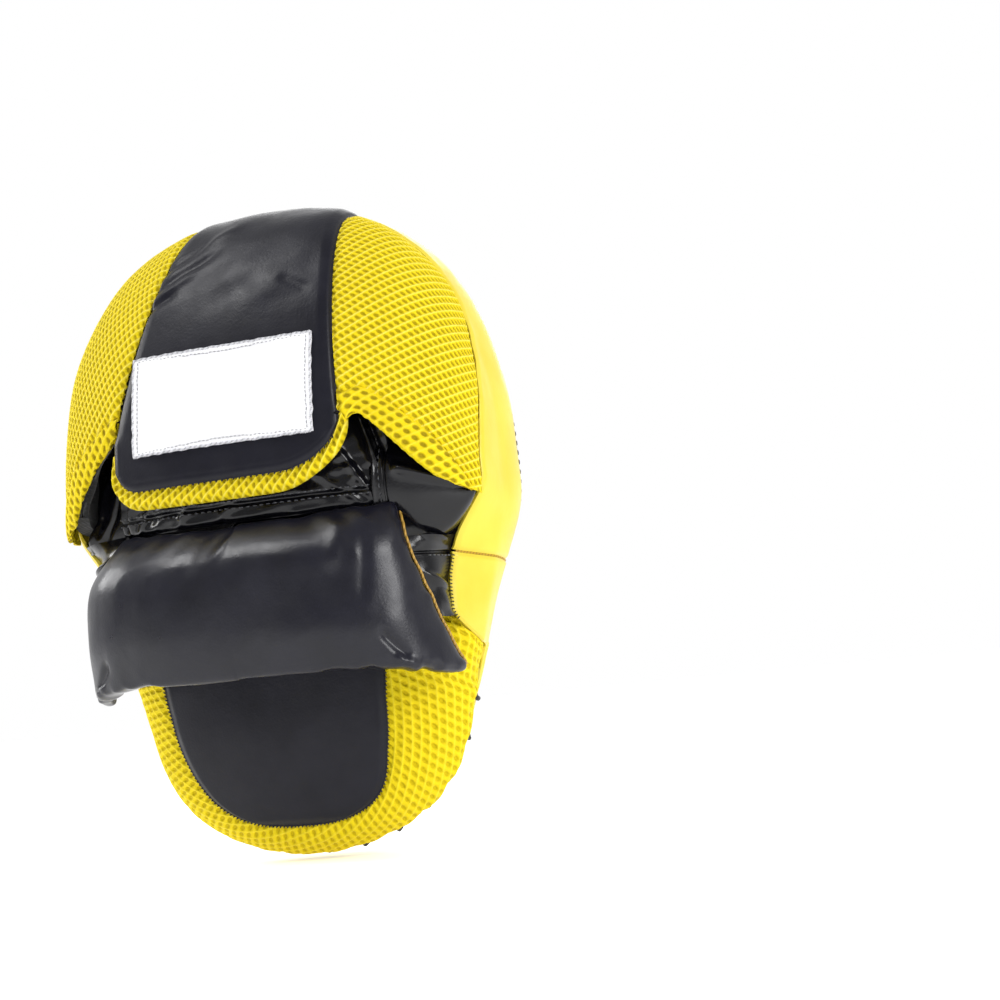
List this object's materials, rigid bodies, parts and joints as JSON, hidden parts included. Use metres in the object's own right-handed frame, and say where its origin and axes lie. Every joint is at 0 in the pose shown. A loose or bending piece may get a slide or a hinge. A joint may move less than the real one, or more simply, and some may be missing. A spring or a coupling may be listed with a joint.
{
  "type": "boxing focus mitt",
  "caption": "Left-hand padded focus mitt with a smooth dark strike face, laced side wall, mesh hood over the fingers, inner glove and a wide wrist cuff.",
  "frame": {"origin": "on the palm lining under the middle of the palm, mount hand_grip", "axes": "+Z to the fingertips, +Y out of the hand side (the strike face looks along -Y), the thumb at -X"},
  "size_m": [0.1962, 0.111, 0.2776],
  "materials": {
    "charcoal_pu": "satin",
    "gloss_pu": "gloss",
    "yellow_pu": "satin",
    "yellow_mesh": "matte",
    "foam": "matte",
    "lining_cloth": "matte",
    "woven_patch": "matte",
    "lace_cord": "matte",
    "amber_trim": "satin"
  },
  "bodies": {
    "pad": {"strike_cover": "charcoal_pu", "strike_foam": "foam", "core_foam": "foam", "rear_foam": "foam", "upper_gusset": "yellow_pu", "lower_gusset": "yellow_pu", "lace_backing": "lining_cloth", "lace": "lace_cord", "rear_mesh_panel": "yellow_mesh", "rear_centre_panel": "charcoal_pu", "wrist_cushion": "foam", "palm_lining": "lining_cloth", "hood_mesh_thumb_side": "yellow_mesh", "hood_mesh_little_side": "yellow_mesh", "hood_strap": "charcoal_pu", "hood_foam": "foam", "hood_lining": "lining_cloth", "label_patch": "woven_patch", "hand_cover": "gloss_pu", "thumb_pouch": "gloss_pu", "side_panel_thumb": "gloss_pu", "side_panel_little": "gloss_pu"},
    "strap_tongue": {"tongue": "charcoal_pu", "tongue_mesh_rim": "yellow_mesh"},
    "wrist_cuff": {"cuff_cover": "gloss_pu", "cuff_foam": "foam", "cuff_lining": "lining_cloth", "cuff_piping_little": "amber_trim", "cuff_piping_thumb": "amber_trim"}
  },
  "joints": [
    {"name": "hood_tongue_lift", "type": "hinge", "parent": "pad", "child": "strap_tongue", "pos_m": [0, 0.0588, 0.0343], "axis": [1, 0, 0], "range_deg": [0, 40], "stiffness_Nm_per_rad": 0.02},
    {"name": "wrist_cuff_lift", "type": "hinge", "parent": "pad", "child": "wrist_cuff", "pos_m": [0, 0.048, 0.007], "axis": [1, 0, 0], "range_deg": [0, 30], "stiffness_Nm_per_rad": 0.6}
  ]
}
